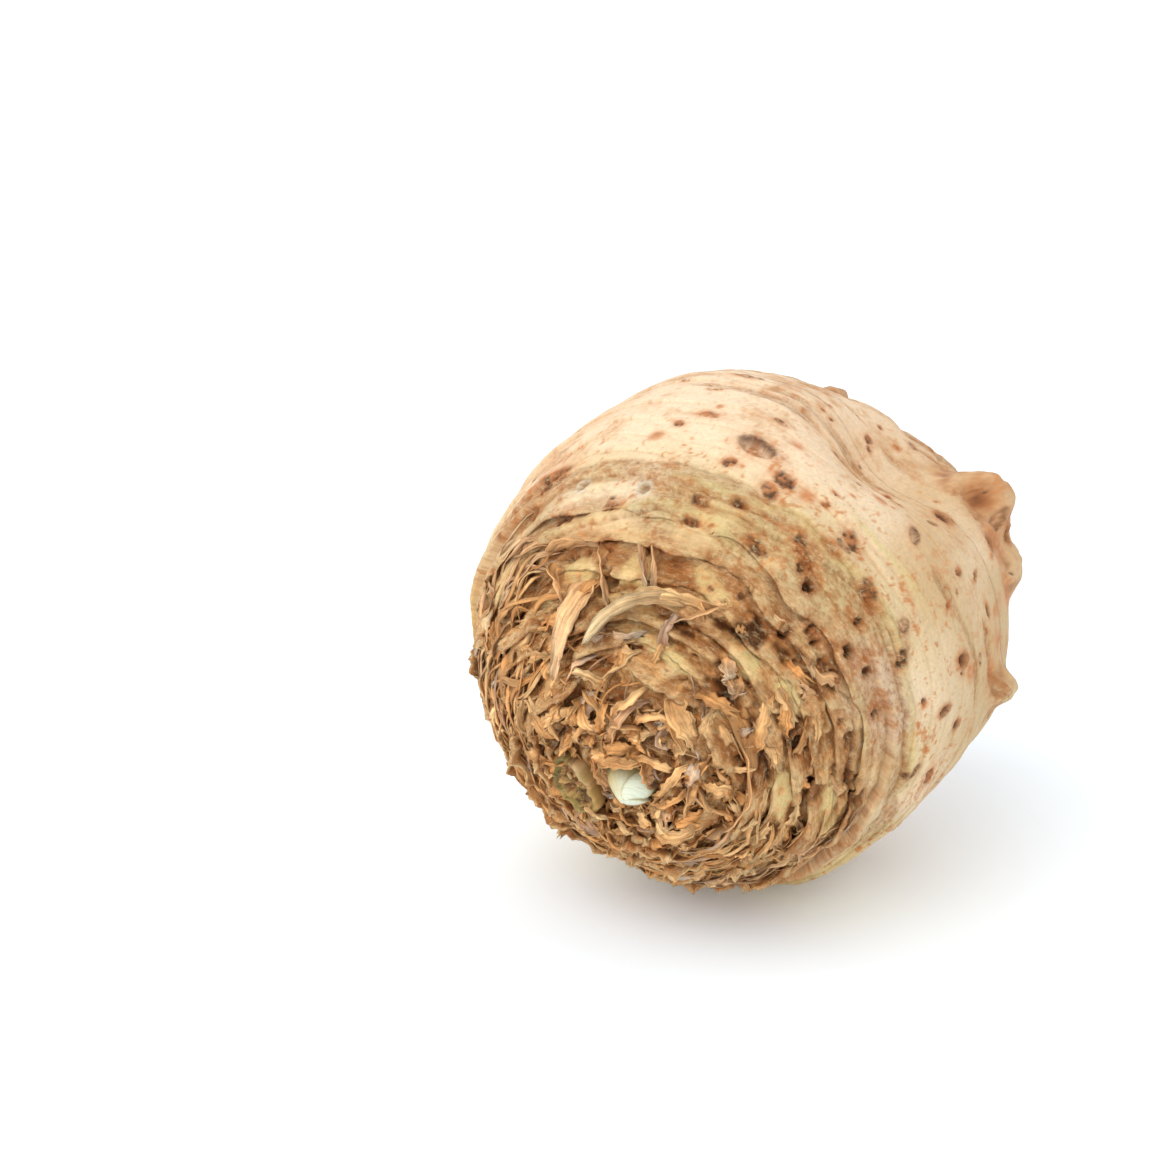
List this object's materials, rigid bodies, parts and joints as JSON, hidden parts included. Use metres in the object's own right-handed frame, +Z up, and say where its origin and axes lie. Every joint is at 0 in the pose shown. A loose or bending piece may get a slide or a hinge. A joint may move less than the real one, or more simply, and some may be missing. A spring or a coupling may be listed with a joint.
{
  "type": "celeriac root",
  "caption": "Whole celeriac root lying on its side: a lumpy round root with ringed tan skin, root scars and knobs, torn brown leaf bases round the crown, a pale leaf bud and a cut leaf stalk",
  "frame": {"origin": "centre of the bounding box's base, on the surface that the root lies on", "axes": "+Z up; +X from the crown to the root end, the longest way; +Y across"},
  "size_m": [0.1285, 0.1173, 0.1144],
  "materials": {
    "root_skin": "matt dry skin with torn brown fibres",
    "young_leaf": "smooth, slightly waxy",
    "cut_stalk": "matt, fibrous where cut"
  },
  "bodies": {
    "root": {"corm": "root_skin", "leaf_bud": "young_leaf", "leaf_stalk_stump": "cut_stalk"}
  },
  "joints": []
}
